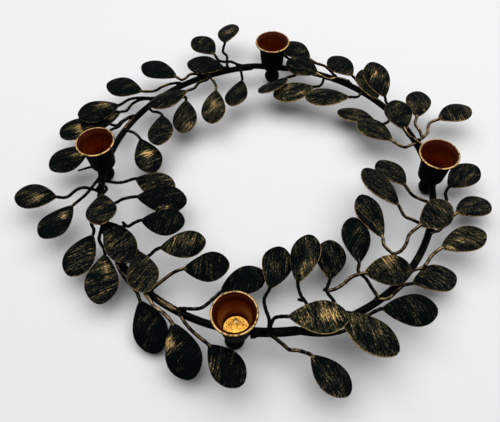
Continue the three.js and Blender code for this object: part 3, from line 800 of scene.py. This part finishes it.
WREATH["front_right"] = [
    [Leaf((-85, "top"), [(-84.5, -6), (-85.5, -12), (-86, -18.5)],
          (-84, -25, 7), (73, -5, 12), 0.4, 88, wire=0.25),
     Leaf((-84.8, "top"), [(-83, -5)],
          (-79, -3.5, 13), (-9, 4, -4), 0.65, 112, wire=0.6, size=1.07, patch=(0.75, 0, 0.6))],
    [Leaf((-84, "outer"), [(-81, 9.5), (-79.5, 13), (-77.5, 14)],
          (-74.5, 18, 3), (-62, 5, -6), 0.3, 120, wire=0.65, size=0.93, patch=(0.55, -0.4, 0.4))],
    [Leaf((-71.5, "inner"), [(-72, -14), (-73, -18.5)],
          (-73, -27, 7), (61, 10, -16), 0.45, 95, wire=0.3, size=1.02, patch=(0.4, -0.5, 0.5),
          tail=[(-72, -15, 5), (-74.5, -17, 5)])],
    [Leaf((-75.5, "outer"), [(-72, 7), (-68, 9.5), (-63.5, 10), (-61.5, 6)],
          (-64, -1.5, 8.5), (-62, 3, -18), 0.5, 105, size=1.26, patch=(0.3, 0.2, 0.3))],
    [Leaf((-63, "inner"), [(-63, -10.5), (-63.5, -17.5, 4)],
          (-60.5, -23.5, 5), (58, -10, 4), 0.35, 100, wire=0.3),
     Leaf((-64.5, -19.5, 4), [(-63, -17.5, 4), (-60.5, -16), (-57.5, -16), (-54, -16.5)],
          (-50.5, -13.5, 13), (-22, -12, 18), 0.5, 130, wire=0.8, patch=(0.5, 0.6, 0.6))],
    [Leaf((-59, "outer"), [(-56, 7, 3), (-54.5, 7.5)],
          (-52.5, 9, 7), (-37, 3, 12), 0.3, 128, wire=0.6)],
    [Leaf((-51, "top"), [(-48.5, 5.5), (-45, 5.5), (-42, 6)],
          (-40, 9, 5), (-28, -12, -5), 0.5, 145, wire=0.75),
     Leaf((-50.8, "top"), [(-50, -6), (-49.5, -13), (-50, -18.5)],
          (-47.5, -22.5, 7), (53, 6, 12), 0.25, 60, patch=(0.5, 0, 0.15))],
    [Leaf((-35, "outer"), [(-33.5, 7.5), (-31, 8.5), (-29, 8.5)],
          (-25, 12, 5), (-40, 2, -5), 0.5, 152, wire=0.9, patch=(0.45, 0, 0.25))],
    [Leaf((-37.5, "top"), [(-36, -8.5), (-35, -12.5, 4), (-34, -20)],
          (-31.5, -23.5, 5), (60, 15, 12), 0.45, 135, wire=0.8),
     Leaf((-35.5, -12.5, 4), [(-33, -9), (-30, -8.5), (-27, -9.5)],
          (-23, -6, 13), (-25, -8, 18), 0.5, 140, wire=0.8)],
    [Leaf((-18.5, "top"), [(-19, -6.5), (-19, -12), (-19, -17)],
          (-15.5, -23, 9), (57, 8, 15), 0.4, 150, wire=0.75, size=1.08, patch=(0.45, 0, 0.05))],
    [Leaf((-19.5, "outer"), [(-19, 6.5), (-17, 9), (-12.5, 14)],
          (-11.5, 16, 5), (-45, -14, -7), 0.4, 30, wire=0.8, patch=(0.5, 0, 0.25))],
    [Leaf((-9, "inner"), [(-8, -8.5), (-7, -14)],
          (-3, -19.5, 5), (30, -14, 5), 0.4, 150, wire=0.65)],
    [Leaf((-11.5, "outer"), [(-7, 9.5), (-4, 9)],
          (-1.5, 11.5, 3), (-44, -4, -3), 0.4, 60, size=1.01)],
]
WREATH["back_right"] = [
    [Leaf((19.5, "outer"), [(20, 5.5, 3), (21.5, 11), (23, 13), (24.5, 16.5)],
          (24.5, 23.5, 7), (-81, -6, -4), 0.45, 100, wire=0.95),
     Leaf((19.8, 5, 3), [(22.5, 5.5), (25.5, 4.5)],
          (27.5, 8, 9), (-38, -6, 2), 0.4, 110, wire=0.95, patch=(0.25, 0.4, 0.2))],
    [Leaf((17, "top"), [(18.5, -4.5), (19, -9)],
          (21, -11, 15), (-11, -3, -7), 0.4, 30, wire=1.2),
     Leaf((17.3, "top"), [(17.5, -5), (16.5, -13)],
          (20.5, -20, 7), (25, -6, 3), 0.45, 150, wire=0.85)],
    [Leaf((35, "top"), [(37, -1.5), (38.5, -4)],
          (40, -3, 13), (-21, 12, -2), 0.45, 75, wire=0.6, size=1.05, patch=(0.6, 0, 0.5))],
    [Leaf((38.5, "inner"), [(40.5, -6)],
          (42, -7.5, 10), (-24, 5, 5), 0.5, 130, wire=0.75)],
    [Leaf((35, "inner"), [(33.5, -6.5), (32.5, -10), (33, -15)],
          (36, -17.5, 1), (23, -11, 12), 0.5, 160, wire=0.85)],
    [Leaf((52, "top"), [(54.5, 0)],
          (57, -1, 12), (-26, -8, -5), 0.35, 40, wire=0.7)],
    [Leaf((51, "inner"), [(50.5, -6.5), (50, -12)],
          (52, -18.5, 7), (40, -2, 4), 0.55, 20, wire=0.7, size=1.07)],
    [Leaf((64.5, "top"), [(68, 4), (70.5, 6), (73.5, 5.5)],
          (76.5, 8, 7), (-33, -5, -4), 0.3, 40, wire=0.7)],
    [Leaf((58.5, "top"), [(62.5, -4), (65, -11.5)],
          (70, -12.5, 11), (-19, -6, -7), 0.35, 150, wire=1.05)],
    [Leaf((69, "inner"), [(67.5, -11.5), (67.5, -17.5)],
          (69.5, -21.5, 5), (39, -3, -4), 0.7, 30, size=1.06)],
    [Leaf((78, "top"), [(79.5, 5, 2), (81.5, 10, 0.5), (84.5, 12, 0.5)],
          (87.5, 16, 2), (-48, 0, 0), 0.3, 40),
     Leaf((78.5, "top"), [(79, -8), (80.5, -12)],
          (83.5, -16, 4), (57, 8, 24), 0.35, 40)],
]
WREATH["back_left"] = [
    [Leaf((105, "outer"), [(107.5, 7), (109, 7, 4), (112, 7.5)],
          (113, 14, 9), (-73, -5, -3), 0.3, 60),
     Leaf((109.5, "outer"), [(109, 7, 4), (108.5, 12.5), (109.5, 16)],
          (108, 24, 11), (-110, -9, -13), 0.3, 60, patch=(0.5, 0, 0.6))],
    [Leaf((105, "inner"), [(104.5, -15)],
          (105, -19.2, 4), (66, 0, 12), 0.4, 45, size=0.94)],
    [Leaf((110, "top"), [],
          (111.5, -5.5, 9), (-32, -3, -5), 0.2, 30)],
    [Leaf((118.5, "inner"), [(119.5, -8.5), (124, -11), (128.5, -17.5)],
          (132, -18, 10), (-7, -2, 7), 0.35, 50, wire=0.75),
     Leaf((118.8, "inner"), [(118, -13.5), (118.5, -23)],
          (120, -29, 9), (61, -9, 5), 0.6, 50, wire=0.75, patch=(0.45, 0.1, 0.45))],
    [Leaf((121.5, "outer"), [(124.5, 4.5), (127.5, 1, 5), (129.5, 0, 6)],
          (130.5, 4.5, 7), (-64, 0, 0), 0.15, 40, wire=0.8, size=1.06)],
    [Leaf((131, "outer"), [(134, 4.5), (137, 5), (141, 4.5)],
          (144.5, 10.5, 7), (-69, -2, -4), 0.25, 30, wire=0.8)],
    [Leaf((133, "inner"), [(134, -13.5, 2), (133, -16, 2.5)],
          (134.5, -21, 4), (51, -6, 4), 0.45, 60, patch=(0.8, 0.4, 0.6))],
    [Leaf((143.5, "outer"), [(146.5, 7.5), (150, 11.5)],
          (155.5, 11.5, 11), (-40, 0, -9), 0.25, 20, patch=(0.35, -0.3, 0.8)),
     Leaf((144, "outer"), [(147, 8), (150.5, 9.5), (154.5, 8)],
          (156, 11, 5), (-34, 0, -9), 0.2, 20, patch=(0.25, 0.3, 0.8))],
    [Leaf((147.5, "inner"), [(149.5, -11), (149, -16)],
          (150, -22.5, 8), (37, 3, 10), 0.4, 20)],
    [Leaf((155.5, "outer"), [(159, 6.5), (161, 8)],
          (160.5, 32.5, -1), (-8, 10, -9), 0.25, 45, patch=(0.5, 0.3, 1.2)),
     Leaf((156, "outer"), [(159.5, 4.5), (162, 4.5), (164, 7.5)],
          (173.5, 15.5, 5), (-36, 2, -8), 0.25, 30, size=1.04, patch=(0.35, 0.4, 0.7))],
    [Leaf((162, "inner"), [(162.5, -10.5)],
          (165, -18.5, 4), (44, -8, 0), 0.35, 32, patch=(0.5, 0.1, 0.9))],
]
print(sum(len(sprig) for sprigs in WREATH.values() for sprig in sprigs), "leaves in the schedule")

# %% [markdown]
# ## Leaf blades
# A blade is a dished drop of sheet metal, 33 mm by 20 mm. It could be a flat outline with modifiers that
# thicken and bend it, but rows of points across the blade give its outline, its dome and its rounded edge
# directly, and each point its brush values. No two hand-finished leaves are alike, so each gets its
# own wave and warp.

# %% Outline of a blade
LEAF_LENGTH = 33
LEAF_HALF_WIDTH = 10
WIDEST_LATER = 1.35
OUTLINE_FULLNESS = 0.56
EDGE_WAVE = 0.03
WAVE_TURN = 5


def blade_frame(one):
    """Origin and directions of a blade: along it, to its left and up."""
    turn, pitch, roll = (math.radians(value) for value in one.lie)
    heading = math.radians(one.base[0] + 90) + turn
    level_reach = math.cos(pitch)
    along = Vector((level_reach * math.cos(heading), level_reach * math.sin(heading), math.sin(pitch)))
    flat_left = Vector((-math.sin(heading), math.cos(heading), 0))
    left = flat_left * math.cos(roll) + along.cross(flat_left) * math.sin(roll)
    return place(*one.base), along, left, along.cross(left)


def half_width(share, seed):
    """Half the blade's width at a share of its length, with this leaf's own wave."""
    wave = 1 + EDGE_WAVE * math.sin(WAVE_TURN * share + seed) * math.sin(math.pi * share)
    return LEAF_HALF_WIDTH * math.sin(math.pi * share**WIDEST_LATER) ** OUTLINE_FULLNESS * wave


print("a blade half way along is", round(2 * half_width(0.5, 0), 1), "mm wide")

# %% Leaf blades
LEAF_SHEET = 0.9
LEAF_DOME = 1.6
LEAF_ROWS = 30
LEAF_POINTS = 15
FIRST_ROW = 0.012
LAST_ROW = 0.995
BLADE_WARP = 0.35
WARP_ALONG = 3.5
WARP_ACROSS = 2
WARP_OWN = 1.7
EDGE_ROUND = 0.12
RIM_WIDTH = 1.3
RIM_LEAST = 0.86
RIM_MORE = 0.35
PATCH_LENGTH = 0.16
PATCH_WIDTH = 0.5
BLADE, WIRE = range(2)


def gold_taken(one, share, side):
    """How much gold a place on the blade took from the brush."""
    if one.patch is None:
        return one.gold
    along, across, amount = one.patch
    far = ((share - along) / PATCH_LENGTH) ** 2 + ((side - across) / PATCH_WIDTH) ** 2
    return one.gold + amount * math.exp(-far)


def add_blade(skin, one, seed):
    """The blade as loops of points: over the top, round an edge and back underneath."""
    origin, along, left, up = blade_frame(one)
    brush = math.radians(one.brush)
    with_brush = Vector((math.cos(brush), math.sin(brush), 0))
    across_brush = Vector((-math.sin(brush), math.cos(brush), 0))
    sides = [math.sin(math.pi * (number / (LEAF_POINTS - 1) - 0.5)) for number in range(LEAF_POINTS)]
    section = [(side, 1) for side in sides] + [(1, 0)]
    section += [(side, -1) for side in reversed(sides)] + [(-1, 0)]
    rim_strength = RIM_LEAST + RIM_MORE * one.gold
    rows = []
    for row in range(LEAF_ROWS):
        eased = (1 - math.cos(math.pi * row / (LEAF_ROWS - 1))) / 2
        share = FIRST_ROW + (LAST_ROW - FIRST_ROW) * eased
        width = half_width(share, seed)
        points = []
        strokes = []
        golds = []
        rims = []
        for side, face in section:
            dome = LEAF_DOME * (1 - side * side) * 4 * share * (1 - share)
            bend = math.sin(WARP_ALONG * share + WARP_ACROSS * side + WARP_OWN * seed)
            warp = BLADE_WARP * bend * math.sin(math.pi * share)
            reach = side * (width + (0 if face else EDGE_ROUND))
            point = origin + (along * (share * LEAF_LENGTH) + left * reach) * one.size
            point += up * (dome + warp + face * LEAF_SHEET / 2)
            to_edge = min((1 - abs(side)) * width, (1 - share) * LEAF_LENGTH)
            points.append(point)
            strokes.append((point.dot(with_brush), point.dot(across_brush), seed))
            golds.append(gold_taken(one, share, side))
            rims.append(rim_strength * max(0, 1 - to_edge / RIM_WIDTH))
        rows.append(skin.add_points(points, strokes, golds, rims))
    skin.join(rows, BLADE)
    skin.close_ends(rows, BLADE, BLADE)


print("a blade has", LEAF_ROWS * (2 * LEAF_POINTS + 2), "points")

# %% [markdown]
# ## Stems and welds
# Each stem is a bent wire that lies against the rod for a few millimetres, where a bead of weld holds it,
# runs through its bends and ends brazed under the blade. Straight pieces with elbows would look like
# plumbing, so a smooth line goes through the bends. The wire is drawn with its paint, and wavers a little.

# %% Welds
WIRE_RADIUS = 1.15
WIRE_SIDES = 10
# Where round the rod a stem is welded on, in degrees up from the rod's outer side.
WELD_SIDES = {"outer": 45, "top": 90, "inner": 135}
BEAD_LENGTH = 4
BEAD_RADIUS = 1.7
BEAD_SHARES = (-1, -0.85, -0.5, 0, 0.5, 0.85, 1)
BEAD_FULLNESS = 1.05
BEAD_GOLD = 0.1


def weld_place(angle, side):
    """Where a stem lies on the rod."""
    shift = min(rod_shifts(angle)) if side == "inner" else max(rod_shifts(angle))
    reach = ROD_DIAMETER / 2 + WELD_GAP + WIRE_RADIUS
    around = math.radians(WELD_SIDES[side])
    return (angle, shift + reach * math.cos(around), reach * math.sin(around))


def add_bead(skin, middle, along, seed):
    """A weld bead: a short swelling along the stem."""
    line = [middle + along * (BEAD_LENGTH / 2 * share) for share in BEAD_SHARES]
    radii = [BEAD_RADIUS * math.sqrt(BEAD_FULLNESS - share * share) for share in BEAD_SHARES]
    skin.tube(line, radii, WIRE_SIDES, WIRE, [BEAD_GOLD] * len(line), seed)


print("a stem on top of the rod lies", round(weld_place(40, "top")[2], 2), "mm above its middle")

# %% Stems and tails
WIRE_STEP = 1.2
WIRE_WAVER = 0.06
WAVER_TURN = 1.9
STEM_TAPER = 0.5
STEM_TAPER_STEPS = 3
TAIL_TAPER = 0.4
TAIL_TAPER_START = 0.4
WELD_RUN = 3
WELD_SINK = 0.6
BRAZE_LENGTH = 4
BEAD_SEAT_OUT = 0.4
BEAD_SEAT_RISE = 0.75
BEAD_TO_WIRE = 0.6


def with_heights(places):
    """Places with no height of their own rise evenly between those that have one."""
    flat = [place(angle, out, 0) for angle, out, *_ in places]
    travel = [0]
    for before, after in zip(flat, flat[1:]):
        travel.append(travel[-1] + (after - before).length)
    known = [index for index, spot in enumerate(places) if len(spot) == 3]
    risen = []
    for index, (angle, out, *_) in enumerate(places):
        before = max(number for number in known if number <= index)
        after = min(number for number in known if number >= index)
        gap = travel[after] - travel[before]
        share = (travel[index] - travel[before]) / gap if gap else 0
        rise = places[before][2] * (1 - share) + places[after][2] * share
        risen.append((angle, out, rise))
    return risen


def add_stem(skin, one, seed):
    """The stem from its weld or joint to under the blade."""
    origin, along, _, _ = blade_frame(one)
    welded = len(one.weld) == 2
    starts = [one.weld]
    if welded:
        following = (one.stem or [one.base])[0]
        run = math.degrees(WELD_RUN / RING_RADIUS) * (1 if following[0] < one.weld[0] else -1)
        angle, out, rise = weld_place(one.weld[0] + run, one.weld[1])
        starts = [(angle, out * WELD_SINK, rise * WELD_SINK), weld_place(*one.weld)]
    spots = [place(*spot) for spot in with_heights([*starts, *one.stem, one.base])]
    spots.append(origin + along * BRAZE_LENGTH)
    line = smooth_line(spots, WIRE_STEP)
    last = len(line) - 1
    radii = []
    for index in range(len(line)):
        taper = STEM_TAPER * smooth_step(index, last - STEM_TAPER_STEPS, last)
        radii.append(WIRE_RADIUS * (1 + WIRE_WAVER * math.sin(WAVER_TURN * index + seed) - taper))
    skin.tube(line, radii, WIRE_SIDES, WIRE, [one.wire] * len(line), seed)
    if welded:
        angle, out, rise = starts[1]
        seat = place(angle, out * BEAD_SEAT_OUT, rise * BEAD_SEAT_RISE)
        add_bead(skin, seat.lerp(spots[1], BEAD_TO_WIRE), (spots[1] - spots[0]).normalized(), seed)


def add_tail(skin, one, seed):
    """The bare cut end of a wire, drawn out thinner."""
    line = smooth_line([place(*spot) for spot in one.tail], WIRE_STEP)
    count = len(line)
    tapers = [TAIL_TAPER * smooth_step(index, TAIL_TAPER_START * count, count) for index in range(count)]
    radii = [WIRE_RADIUS * (1 - taper) for taper in tapers]
    skin.tube(line, radii, WIRE_SIDES, WIRE, [one.wire] * count, seed)


print("evenly risen", [round(rise, 1) for *_, rise in with_heights([(0, 0, 0), (5, 0), (10, 0, 8)])])

# %% [markdown]
# ## Leaves
# A blade, its stem and its tail are brazed into one piece, and so are both leaves of a twin. They could be
# objects of their own under a parent, but one skin for each replaces one solid.

# %% Leaves
LEAF_SEED = 1.7

made = 0
for quarter, sprigs in WREATH.items():
    counts = {"leaf": 0, "twin": 0}
    for sprig in sprigs:
        kind = "twin" if len(sprig) > 1 else "leaf"
        counts[kind] += 1
        node = f"{quarter}_{kind}_{counts[kind]}"
        skin = Skin()
        for one in sprig:
            made += 1
            seed = LEAF_SEED * made
            add_blade(skin, one, seed)
            add_stem(skin, one, seed)
            if one.tail:
                add_tail(skin, one, seed)
        skin.piece(f"{node}_brushed", node, "dry_brushed_gold", [leaf_enamel, wire_enamel])
print(made, "leaves made")

# %% [markdown]
# ## Size
# The dressed wreath has to keep the size of its solids.
